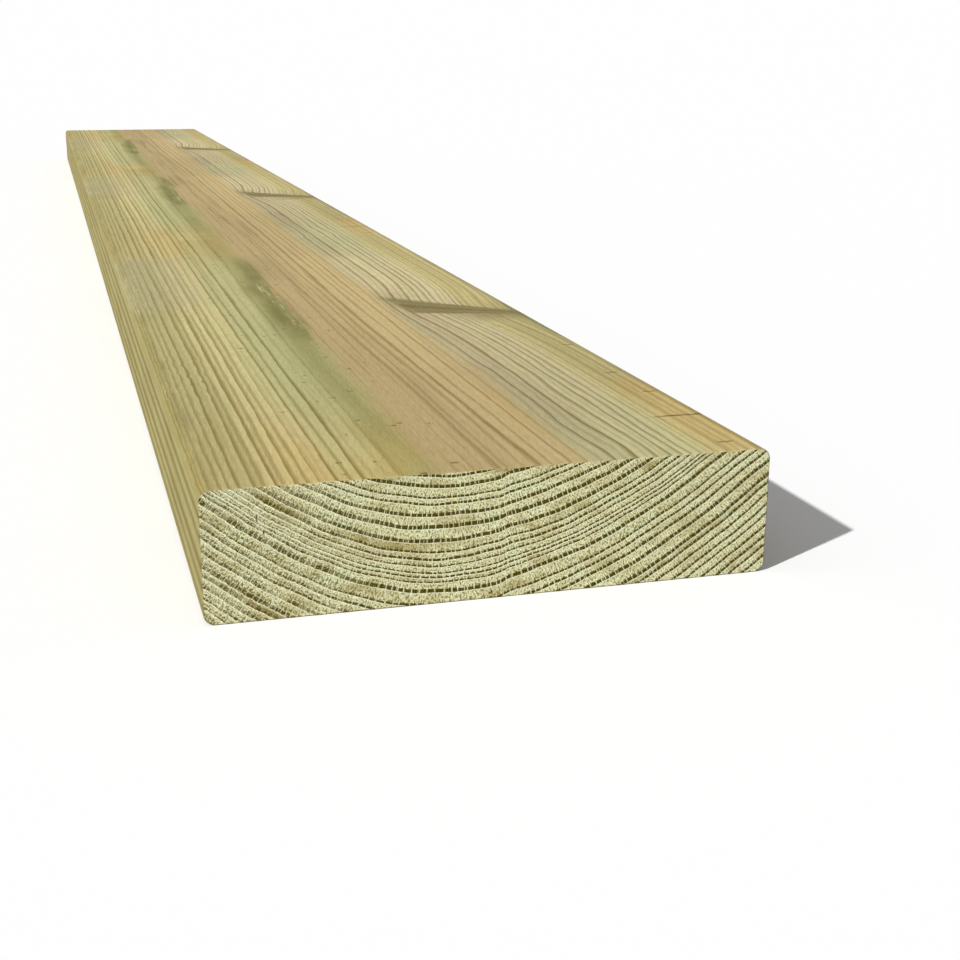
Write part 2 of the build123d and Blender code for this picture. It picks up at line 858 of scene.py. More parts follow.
@dataclass(frozen=True)
class FaceMarks:
    """Where stains and marks lie on the upper face and where its grain changes, in millimetres.

    What lies along the plank comes again in each repeat. A span is where a change begins and ends, or the two
    borders of a band. Shades are stretches with the share by which each is lighter.
    """

    shades: tuple[tuple[Stretch, float], ...] = (
        (Stretch(36.0, 50.0, -600.0, -495.0), 0.15),
        (Stretch(2.0, 27.0, -800.0, -480.0), 0.06),
        (Stretch(80.0, 98.0, -870.0, -690.0), -0.1),
        (Stretch(33.0, 44.0, -935.0, -830.0), -0.08),
        (Stretch(-48.0, -28.0, -976.0, -945.0), 0.1),
        (Stretch(-98.0, -76.0, -660.0, -480.0), -0.08),
        (Stretch(33.0, 84.0, -980.0, -935.0), 0.05),
        (Stretch(68.0, 82.0, -640.0, -500.0), 0.04),
        (Stretch(-14.0, -2.0, -545.0, -490.0), -0.1),
        (Stretch(-98.0, -86.0, -940.0, -480.0), -0.04),
        (Stretch(-78.0, -55.0, -800.0, -590.0), 0.03),
        (Stretch(82.0, 98.0, -985.0, -910.0), 0.05),
    )
    light_crest: float = -580.0
    lifted: Span = (16.0, 40.0)
    dimmed: Span = (78.0, 90.0)
    warm_crest: float = -985.0
    warm_grows: Span = (-78.0, -56.0)
    warm_ends: Span = (-24.0, -14.0)
    greened: Stretch = Stretch(-58.0, -26.0, -850.0, -700.0, 8.0, 60.0)
    green_band: Span = (33.0, 72.0)
    no_green: Span = (-18.0, 30.0)
    orange_corner: Stretch = Stretch(84.0, 94.0, -960.0, -875.0, 10.0, 30.0)
    orange_seam: Stretch = Stretch(24.0, 29.0, -920.0, -875.0, 3.0, 25.0)
    streak_x: float = -25.0
    streak_step: float = 6.0
    streak_steps: Span = (-620.0, -500.0)
    streak_left: Span = (-14.0, -1.0)
    streak_right: Span = (4.0, 9.0)
    streak_narrowing: float = 5.0
    streak_narrows_near: Span = (-790.0, -700.0)
    streak_narrows_far: Span = (-590.0, -490.0)
    streak_length: Span = (-720.0, -500.0)
    streak_tail: Span = (-890.0, -700.0)
    streak_split: Span = (-705.0, -575.0)
    split_off: float = 2.5
    torn: Stretch = Stretch(-95.0, -78.0, -845.0, -765.0, 5.0, 15.0)
    swirled: Stretch = Stretch(38.0, 62.0, -960.0, -835.0, 8.0, 30.0)
    heart: Span = (-16.0, 30.0)
    heart_streaks: Span = (-16.0, 4.0)
    quiet_green: Span = (-40.0, -21.0)
    fine_left: Span = (-45.0, -30.0)
    fine_right: Span = (58.0, 70.0)
    edge_bands: Span = (68.0, 82.0)
    edge_bands_fade: Span = (84.0, 93.0)
    knot_halo: Span = (46.0, 76.0)
    knot_fades: Span = (66.0, 96.0)
    rubbed_x: Span = (-70.0, -46.0)
    rubbed_y: Span = (-620.0, -475.0)
    flaked: Stretch = Stretch(-94.0, -84.0, -650.0, -450.0, 3.0, 20.0)
    pricked: Span = (-56.0, -8.0)
    prick_spread: Span = (19.0, 26.0)


@dataclass(frozen=True)
class FaceGrainFinish:
    """Planed long grain: straw-coloured sapwood, a tan heart, green treatment, ring lines and spike knots."""

    repeat: Repeat
    cracks: DryingCracks
    knots: SpikeKnots
    straw: Tone = Tone(201, 189, 136)
    dull_straw: Tone = Tone(185, 175, 122)
    pale_green: Tone = Tone(185, 179, 128)
    olive: Tone = Tone(165, 158, 106)
    tan: Tone = Tone(190, 169, 121)
    dull_tan: Tone = Tone(180, 159, 113)
    grey_straw: Tone = Tone(185, 171, 133)
    light_grey: Tone = Tone(196, 184, 143)
    honey: Tone = Tone(198, 185, 131)
    edge: Tone = Tone(153, 143, 92)
    side_straw: Tone = Tone(171, 161, 107)
    side_olive: Tone = Tone(160, 150, 97)
    line: Tone = Tone(180, 171, 136)
    warm_tint: Tone = Tone(255, 240, 220)
    scuffed: Tone = Tone(174, 165, 130)
    green_tint: Tone = Tone(246, 254, 249)
    orange: Tone = Tone(202, 164, 98)
    dark_streak: Tone = Tone(116, 112, 60)
    fleck: Tone = Tone(212, 204, 154)
    scar: Tone = Tone(104, 82, 42)
    knot_edge: Tone = Tone(119, 109, 67)
    knot_mid: Tone = Tone(131, 121, 78)
    knot_core: Tone = Tone(118, 104, 64)
    knot_brown: Tone = Tone(134, 119, 77)
    knot_pale: Tone = Tone(160, 147, 103)
    marks: FaceMarks = FaceMarks()
    stroke_reach_mm: float = 1.3
    outer_reach_mm: float = 0.6
    fine_core_mm: float = 0.1
    fine_reach_mm: float = 1.3
    crowded_rings_mm: Span = (2.0, 4.5)
    halved_rings_mm: Span = (4.4, 6.0)
    thirded_rings_mm: Span = (10.0, 12.5)
    plain_rings_mm: Span = (17.0, 24.0)
    ragged_mm: float = 1.3
    jagged_mm: float = 2.6
    rippled_mm: float = 7.0
    upper_from_mm: float = 4.5
    upper_full_mm: float = 0.8
    cloud_sway_mm: float = 9.0
    waver_sway_mm: float = 6.0
    fibre_sway_mm: float = 5.0
    hair_slant: float = 0.1
    hair_relief_mm: float = 0.12

    def spot(self, graph: NodeGraph, upper_mm: float) -> Spot:
        """Gathers the numbers that the layers share at a point.

        Args:
            graph: The graph that works the numbers out.
            upper_mm: Height of the upper face.

        Returns:
            The numbers.
        """
        place = graph.place_mm()
        x, y, z = graph.axes(place)
        cloud = graph.noise(place, Grain.CLOUD)
        waver = graph.noise(place, Grain.WAVER)
        fibre = graph.noise(place, Grain.FIBRE)
        swayed = x + (cloud - 0.5) * self.cloud_sway_mm + (waver - 0.5) * self.waver_sway_mm
        return Spot(
            graph=graph,
            place=place,
            x=x,
            y=y,
            repeat_y=self.repeat.folded_mm(y),
            upper=z.step(upper_mm - self.upper_from_mm, upper_mm - self.upper_full_mm),
            depth=upper_mm - z,
            cloud=cloud,
            waver=waver,
            fibre=fibre,
            bent_x=swayed + (fibre - 0.5) * self.fibre_sway_mm,
        )

    def zones(self, spot: Spot, half_width_mm: float) -> Socket:
        """Lays the broad tones across the upper face, and two plainer ones over the sides and underside.

        Args:
            spot: The point.
            half_width_mm: Half the plank's width.

        Returns:
            The colour.
        """
        zones = (
            (-97.0, self.edge), (-90.0, self.dull_straw), (-80.0, self.dull_straw), (-70.0, self.straw),
            (-60.0, self.straw), (-47.0, self.pale_green), (-39.0, self.pale_green), (-30.0, self.olive),
            (-25.0, self.olive), (-14.5, self.dull_tan), (3.0, self.dull_tan), (18.0, self.tan),
            (29.5, self.tan), (36.5, self.grey_straw), (45.0, self.grey_straw), (54.0, self.light_grey),
            (67.0, self.light_grey), (78.0, self.honey), (90.0, self.honey), (97.0, self.edge),
        )
        stops = [((x_mm + half_width_mm) / (2 * half_width_mm), tone) for x_mm, tone in zones]
        across = (spot.bent_x + half_width_mm) / (2 * half_width_mm)
        side = spot.graph.blend(spot.cloud.step(0.35, 0.65), self.side_olive, self.side_straw)
        return spot.graph.blend(spot.upper, side, spot.graph.ramp(across, stops))

    def treatment(self, spot: Spot, colour: Socket) -> Socket:
        """Stains the wood: lighter, darker, warm and green stretches, orange patches and a dark streak.

        Args:
            spot: The point.
            colour: The wood's own colour.

        Returns:
            The stained colour.
        """
        graph, x, marks = spot.graph, spot.x, self.marks
        rise = 0.045 + 0.07 * x.step(*marks.lifted) - 0.08 * x.step(*marks.dimmed)
        lift = self.repeat.wave(spot.y, marks.light_crest) * rise
        for stretch, amount in marks.shades:
            lift = lift + stretch.share(spot) * amount
        colour = graph.shaded(colour, 1 + lift * spot.upper)
        turn = self.repeat.wave(spot.y, marks.warm_crest) ** 4.0 * spot.upper
        warmth = turn * (0.5 + 0.5 * spot.cloud.step(0.35, 0.6)) * (1 - x.step(*marks.warm_ends))
        warmth = warmth * (0.45 + 0.55 * x.step(*marks.warm_grows))
        colour = graph.blend(warmth, colour, self.warm_tint, "MULTIPLY")
        green = spot.cloud.step(0.5, 0.7) * (1 - x.window(*marks.no_green, 3.0)) * 0.6
        green = green.at_least(marks.greened.share(spot) * 0.6)
        green = green.at_least(x.window(*marks.green_band, 5.0) * turn * 1.3)
        colour = graph.blend(green * (1 - warmth) * 0.8, colour, self.green_tint, "MULTIPLY")
        orange = marks.orange_corner.share(spot) * 0.4 + marks.orange_seam.share(spot) * 0.2
        colour = graph.blend(orange * spot.upper * (0.4 + spot.cloud), colour, self.orange)
        return graph.blend(self.streak(spot) * spot.upper * 0.9, colour, self.dark_streak)

    def streak_x(self, spot: Spot) -> Signal:
        """Gives the distance to the right of the streak's middle, which steps over towards its far end."""
        marks = self.marks
        return spot.bent_x - marks.streak_x - marks.streak_step * spot.repeat_y.step(*marks.streak_steps)

    def streak(self, spot: Spot) -> Signal:
        """Draws the dark streak beside the heart: narrower at both ends, with a faint tail at the near one.

        Args:
            spot: The point.

        Returns:
            The streak's share.
        """
        off, y, marks = self.streak_x(spot), spot.repeat_y, self.marks
        ends = y.step(*marks.streak_narrows_far) + 1 - y.step(*marks.streak_narrows_near)
        narrowing = ends * marks.streak_narrowing
        left = off.step(*(narrowing * 0.3 + place for place in marks.streak_left))
        right = 1 - off.step(*(place - narrowing for place in marks.streak_right))
        length = y.window(*marks.streak_length, 55.0).at_least(y.window(*marks.streak_tail, 70.0) * 0.35)
        blot = spot.graph.noise(spot.place, Grain.BLOT).step(0.25, 0.7)
        return left * right * length * (0.55 + 0.45 * blot)

    def strokes(self, spot: Spot, ring: Signal, spacing: Signal) -> Signal:
        """Draws each ring as a soft stroke, sharper on its outer side, with finer strokes within wide rings.

        Args:
            spot: The point.
            ring: The ring number there.
            spacing: Distance from ring to ring in millimetres.

        Returns:
            The strokes' share.
        """
        graph, x, marks, share = spot.graph, spot.x, self.marks, ring.fract()
        reach = (self.stroke_reach_mm + graph.carried(Field.LINE)).at_most(spacing * 0.5)
        inner = 1 - ((1 - share) * spacing).step(0.0, reach)
        outer = 1 - (share * spacing).step(0.0, self.outer_reach_mm)
        weight = 0.5 + 0.7 * graph.lot(ring.floor(), Lot.STRENGTH)
        weight = weight * (0.6 + 0.4 * spacing.step(*self.crowded_rings_mm))
        half = (share - 0.5) * spacing
        third = ((share * 3.0 + 0.5).fract() - 0.5) * spacing / 3.0
        in_half, in_third = (off.near(0.0, self.fine_core_mm, self.fine_reach_mm) for off in (half, third))
        wide = spacing.step(*self.thirded_rings_mm)
        finer = in_half * spacing.step(*self.halved_rings_mm) * (1 - wide)
        finer = finer.at_least(in_third * wide * (1 - spacing.step(*self.plain_rings_mm)))
        strength = 0.35 + 0.3 * (1 - x.step(*marks.fine_left)) + 0.35 * x.window(*marks.heart, 4.0)
        strength = strength + 0.45 * x.step(*marks.fine_right)
        return (inner.at_least(outer) * weight).at_least(finer * strength)

    def lines(self, spot: Spot) -> Signal:
        """Draws the grain: ragged ring strokes, streaks by the heart, and bands on the sides and right edge.

        Args:
            spot: The point.

        Returns:
            The lines' share.
        """
        graph, x, marks = spot.graph, spot.x, self.marks
        spacing = graph.carried(Field.SPACING)
        ragged = graph.noise(spot.place, Grain.RAGGED) - 0.5
        jagged = graph.noise(spot.place, Grain.JAGGED) - 0.5
        rippled = graph.noise(spot.place, Grain.RIPPLED) - 0.5
        torn = jagged * self.jagged_mm * marks.torn.share(spot) * spot.upper
        swirled = rippled * self.rippled_mm * marks.swirled.share(spot) * spot.upper
        bent_mm = ragged * self.ragged_mm + torn + swirled
        ring = graph.carried(Field.RING) + (spot.waver - 0.5) * 0.25 + bent_mm / spacing
        streaks = graph.noise(spot.place, Grain.HEART_STREAK).step(0.48, 0.7)
        streaks = streaks * 0.6 * x.window(*marks.heart_streaks, 4.0)
        drawn = self.strokes(spot, ring, spacing).at_least(streaks)
        by_edge = x.step(*marks.edge_bands)
        banded = ((ring * (2 * math.pi)).cosine() * 0.5 + 0.5) * (1 - 0.5 * x.step(*marks.edge_bands_fade))
        drawn = (drawn * (1 - 0.35 * by_edge)).at_least(banded * 0.6 * by_edge)
        broad = (ring * math.pi).cosine() * 0.5 + 0.5
        on_side = broad * 0.8 + drawn * 0.25
        quiet = 0.4 * x.window(*marks.quiet_green, 6.0) + 0.22 * x.window(*marks.heart, 3.0)
        drawn = drawn * (1 - quiet) * spot.upper + on_side * (1 - spot.upper)
        return drawn * (0.55 + 0.5 * spot.waver + 0.4 * spot.fibre)

    def knot_layer(self, spot: Spot, colour: Socket) -> Socket:
        """Lays the knots over the grain: dark olive beyond a dark middle line, and browns on the near side.

        Args:
            spot: The point.
            colour: The grain's colour.

        Returns:
            The colour with the knots.
        """
        graph = spot.graph
        clear = self.knots.drawn_across(spot.x, spot.y)
        fibres = graph.noise(graph.vector(spot.x, clear), Grain.KNOT_FIBRE)
        across = clear + (fibres - 0.5) * 0.4
        start = (1 - across) * (self.knots.blunt_slant / MM) + self.knots.inner_x / MM
        blunt = (spot.x - start).step(-4.0, 4.0)
        below = spot.depth / (self.knots.root_depth / MM)
        off_axis = (across * across + below * below) ** 0.5
        inside = blunt * (1 - off_axis.step(0.62, 1.16)) * across.step(-1.12, -0.7)
        stops = [
            (0.0, self.knot_pale), (0.12, self.knot_core), (0.22, self.knot_brown), (0.36, self.knot_brown),
            (0.46, self.knot_core), (0.53, self.knot_core), (0.64, self.knot_mid), (0.8, self.knot_mid),
            (0.92, self.knot_edge),
        ]
        halo = (1 - off_axis.step(0.9, 3.0)) * (1 - clear.step(-0.6, 0.6))
        halo = halo * spot.x.step(*self.marks.knot_halo)
        colour = graph.blend(halo * 0.65, colour, self.knot_brown)
        knot = graph.shaded(graph.ramp(across * 0.5 + 0.5, stops), 0.8 + 0.4 * fibres)
        return graph.blend(inside * (1 - 0.1 * spot.x.step(*self.marks.knot_fades)), colour, knot)

    def scars(self, spot: Spot, colour: Socket) -> Socket:
        """Adds a rubbed stretch, torn pale flecks, small dark pricks and the drying cracks.

        Args:
            spot: The point.
            colour: The colour of grain and knots.

        Returns:
            The colour with the scars.
        """
        graph, x, y, marks = spot.graph, spot.x, spot.repeat_y, self.marks
        streaky = graph.noise(spot.place, Grain.RUB).step(0.3, 0.7)
        rubbed = (1 - x.step(*marks.rubbed_x)) * y.window(*marks.rubbed_y, 40.0)
        colour = graph.blend(rubbed * spot.upper * (0.15 + 0.4 * streaky), colour, self.scuffed)
        flakes = graph.noise(spot.place, Grain.FLAKE).step(0.48, 0.6)
        split = self.streak_x(spot).near(marks.split_off, 0.3, 1.8) * y.window(*marks.streak_split, 15.0)
        loose = graph.noise(spot.place, Grain.LOOSE_FIBRE).step(0.62, 0.68) * marks.flaked.share(spot)
        colour = graph.blend((flakes * split).at_least(loose * 0.7) * spot.upper * 0.55, colour, self.fleck)
        pricks = 1 - graph.scatter(spot.bent_x, spot.y, marks.prick_spread).step(0.02, 0.06)
        pricks = pricks * x.window(*marks.pricked, 6.0) * spot.upper * 0.7
        cracks = self.cracks.mask(x, y, (spot.waver - 0.5) * 2.0) * spot.upper
        return graph.blend(pricks.at_least(cracks), colour, self.scar)

    def material(self, half_width_mm: float, upper_mm: float) -> bpy.types.Material:
        """Builds the finish.

        Args:
            half_width_mm: Half the plank's width.
            upper_mm: Height of the upper face.

        Returns:
            The material.
        """
        material, graph = new_material("planed_long_grain")
        spot = self.spot(graph, upper_mm)
        colour = self.treatment(spot, self.zones(spot, half_width_mm))
        lines = self.lines(spot)
        colour = self.knot_layer(spot, graph.blend(lines, colour, self.line, "MULTIPLY"))
        colour = self.scars(spot, colour)
        slanted = graph.vector(spot.x - self.hair_slant * spot.y, spot.y, spot.depth)
        hair = graph.noise(slanted, Grain.HAIR)
        grit = graph.noise(spot.place, Grain.GRIT)
        colour = graph.shaded(colour, 0.5 + 0.3 * spot.fibre + 0.45 * hair + 0.25 * grit)
        graph.wood(colour, 0.74 - 0.1 * lines, hair * 0.6 + spot.fibre * 0.4, self.hair_relief_mm)
        return material


@dataclass(frozen=True)
class EndSpot:
    """A point of a sawn end as its finish sees it, with the numbers that several layers share.

    Left and right grow from 0 to 1 towards those sides. Number and share are the ring and the place in it.
    Cut is 1 in the pale rays, and brick is what they leave of a dark line.
    """

    graph: NodeGraph
    place: Socket
    x: Signal
    z: Signal
    left: Signal
    right: Signal
    fuzz: Signal
    ray: Signal
    spacing: Signal
    number: Signal
    share: Signal
    stroke: Signal
    dots: Signal
    blotch: Signal
    speck: Signal
    swell: Signal
    cut: Signal
    brick: Signal


@dataclass(frozen=True)
class EndGrainFinish:
    """Sawn end grain: pale earlywood, and dark latewood lines that pale rays break into dashes.

    Ring shifts move the breaks and swellings of each line away from those of the line before it.
    """

    pale: Tone = Tone(239, 236, 190)
    # Pale cream of the earlywood beside each dark line, partly a painted highlight on the line's edge.
    cream_and_highlight: Tone = Tone(250, 247, 210)
    stipple: Tone = Tone(126, 116, 54)
    wash: Tone = Tone(182, 165, 108)
    dark: Tone = Tone(64, 58, 6)
    red_dark: Tone = Tone(100, 70, 34)
    light_dark: Tone = Tone(114, 105, 42)
    fuzzy_dark: Tone = Tone(80, 73, 16)
    bleached: Tone = Tone(234, 241, 196)
    check: Tone = Tone(50, 44, 18)
    left_mm: Span = (-80.0, -25.0)
    right_mm: Span = (35.0, 75.0)
    ring_scale_mm: float = 3.6
    ray_spacing_mm: float = 2.1
    small_ray_spacing_mm: float = 0.62
    long_ray_spacing_mm: float = 5.7
    ray_ring_shift: float = 7.31
    small_ray_ring_shift: float = 3.17
    swell_ring_shift: float = 5.0
    fringe_mm: float = 0.9
    relief_mm: float = 0.1
    check_raggedness_mm: float = 9.0
    check_slimness: float = 4.0
    checks_mm: tuple[tuple[float, float, float], ...] = (
        (-79.2, 34.6, 1.6),
        (-77.0, 29.4, 1.2),
        (-2.7, 2.4, 1.1),
    )

    def spot(self, graph: NodeGraph) -> EndSpot:
        """Gathers the numbers that the layers share at a point.

        Args:
            graph: The graph that works the numbers out.

        Returns:
            The numbers.
        """
        place = graph.place_mm()
        x, _, z = graph.axes(place)
        left = 1 - x.step(*self.left_mm)
        right = x.step(*self.right_mm)
        ray = graph.carried(Field.RAY)
        spacing = graph.carried(Field.SPACING)
        fuzz = graph.noise(place, Grain.FUZZ)
        ring = graph.carried(Field.RING) + (fuzz - 0.5) * (0.35 + 0.6 * left) / spacing
        number = ring.floor()
        along_ray = graph.vector(ray, ring * self.ring_scale_mm)
        dots = graph.noise(along_ray, Grain.DOT)
        gap = graph.breaks(ray / self.ray_spacing_mm + number * self.ray_ring_shift)
        long_ray = 1 - graph.breaks(ray / self.long_ray_spacing_mm).step(0.015, 0.04)
        firm = 0.7 + 0.3 * dots.step(0.36, 0.54)
        cut = ((1 - gap.step(0.06, 0.11)) * firm).at_least(long_ray * 0.6)
        return EndSpot(
            graph=graph,
            place=place,
            x=x,
            z=z,
            left=left,
            right=right,
            fuzz=fuzz,
            ray=ray,
            spacing=spacing,
            number=number,
            share=ring.fract(),
            stroke=graph.noise(along_ray, Grain.STROKE),
            dots=dots,
            blotch=graph.noise(place, Grain.BLOTCH).step(0.36, 0.6),
            speck=graph.noise(place, Grain.SPECK),
            swell=graph.noise(graph.vector(ray, number * self.swell_ring_shift), Grain.SWELL),
            cut=cut,
            brick=1 - cut * (0.95 - 0.4 * right - 0.2 * left),
        )

    def earlywood(self, spot: EndSpot) -> Socket:
        """Lays the pale wood between the lines: washed and bleached spots, cream rims that are partly a
        painted highlight, and a fine stipple.

        Args:
            spot: The point.

        Returns:
            The colour.
        """
        graph, number, share = spot.graph, spot.number, spot.share
        patch = graph.noise(spot.place, Grain.PATCH)
        washed_ring = graph.lot(number, Lot.WASH).step(0.5, 0.9)
        washed = patch.step(0.5, 0.68) * 0.4 + washed_ring * spot.blotch * 0.6
        banded = share.step(0.4, 0.55) * graph.lot(number, Lot.BAND).step(0.35, 0.75)
        banded = banded * spot.right * (1 - 0.8 * spot.cut) * 0.7
        base = graph.blend(washed.at_least(banded), self.pale, self.wash)
        base = graph.blend((1 - patch.step(0.36, 0.48)) * 0.7, base, self.bleached)
        # Painted highlight: a pale cream rim just past the outer edge of each dark line, where light would
        # catch the line's raised edge. It is also the paler start of the earlywood.
        cream_and_highlight = 1 - (share * spot.spacing).step(0.2, 0.5)
        base = graph.blend(cream_and_highlight * (0.45 + 0.35 * spot.left), base, self.cream_and_highlight)
        thickening = share.step(0.2, 0.95) * (0.05 * graph.lot(number, Lot.STRENGTH) - 0.005)
        thickening = thickening * (0.4 + 0.9 * spot.blotch)
        grains = spot.stroke * 0.5 + spot.speck * 0.5 + thickening
        bare = (1 - 0.75 * cream_and_highlight) * (1 - (0.45 + 0.3 * spot.right) * spot.cut)
        return graph.blend(grains.step(0.51, 0.55) * 0.9 * bare, base, self.stipple)

    def latewood(self, spot: EndSpot) -> tuple[Signal, Signal]:
        """Draws the dark lines that end the rings, with a fringe on their inner side and a row of dots.

        Args:
            spot: The point.

        Returns:
            The share of the unbroken line, and that of all that is drawn dark.
        """
        left, right, dots = spot.left, spot.right, spot.dots
        uneven = 1 + left * (spot.graph.lot(spot.number, Lot.WIDTH) - 0.5) * 0.9 - 0.1 * right
        width = spot.graph.carried(Field.LINE) * (0.5 + 0.9 * spot.swell + 0.5 * spot.stroke) * uneven
        to_edge = (1 - spot.share) * spot.spacing
        late = 1 - to_edge.step(width * 0.85, width * 1.15)
        fringe = (1 - to_edge.step(width, width + self.fringe_mm)) * spot.stroke.step(0.46, 0.56)
        fringe = fringe * spot.brick * (0.3 + 0.7 * spot.blotch)
        row = (spot.share - 0.45).near(0.0, 0.07, 0.14) * left * dots.step(0.42, 0.52) * spot.brick
        broken = 1 - (1 - dots.step(0.38, 0.5)) * (0.5 * left + 0.1 * right)
        held = 1 - 0.45 * left * (1 - spot.blotch)
        ink = (late * spot.brick * broken).at_least(row * 0.8) * held
        return late, ink.at_least(fringe * 0.35)

    def ink_tone(self, spot: EndSpot) -> Socket:
        """Mixes the dark lines' tone: thinner at small rays, with reddish spots, and fuzzy on the left.

        Args:
            spot: The point.

        Returns:
            The colour.
        """
        graph = spot.graph
        shift = spot.number * self.small_ray_ring_shift
        small_gap = graph.breaks(spot.ray / self.small_ray_spacing_mm + shift)
        thin = (1 - small_gap.step(0.08, 0.28)) * 0.6
        faded = thin.at_least(0.5 - 0.5 * spot.swell.step(0.28, 0.44)) * (1 - 0.6 * spot.right)
        reds = graph.noise(spot.place, Grain.RED_SPOT).step(0.6, 0.68)
        dark = graph.blend(faded, self.dark, self.light_dark)
        dark = graph.blend(reds * 0.5, dark, self.red_dark)
        return graph.blend(spot.left * 0.7, dark, self.fuzzy_dark)

    def hole(self, spot: EndSpot, x_mm: float, z_mm: float, tall_mm: float) -> Signal:
        """Draws one small ragged check of the end.

        Args:
            spot: The point.
            x_mm: The check's place across the plank.
            z_mm: Its height.
            tall_mm: Half its length upward.

        Returns:
            The check's share.
        """
        ragged = (spot.fuzz - 0.5) * self.check_raggedness_mm
        off = abs((spot.x - x_mm) * self.check_slimness + ragged) + abs(spot.z - z_mm)
        return 1 - off.step(tall_mm * 0.6, tall_mm * 1.2)

    def material(self) -> bpy.types.Material:
        """Builds the finish.

        Returns:
            The material.
        """
        material, graph = new_material("sawn_end_grain")
        spot = self.spot(graph)
        late, ink = self.latewood(spot)
        colour = graph.blend(ink, self.earlywood(spot), self.ink_tone(spot))
        colour = graph.shaded(colour, 0.82 - 0.02 * spot.right + 0.4 * spot.speck.step(0.38, 0.62))
        holes = reduce(Signal.at_least, [self.hole(spot, *check) for check in self.checks_mm])
        colour = graph.blend(holes, colour, self.check)
        graph.wood(colour, 0.88 - 0.1 * late, spot.speck * 0.5 + ink * 0.2 - holes, self.relief_mm)
        return material


@dataclass(frozen=True)
class SkinMesh:
    """A finished skin as arrays: points, four-cornered faces, each face's cut, map and carried numbers."""

    points: Array
    quads: Array
    cuts: Array
    map_corners: Array
    fields: dict[Field, Array]


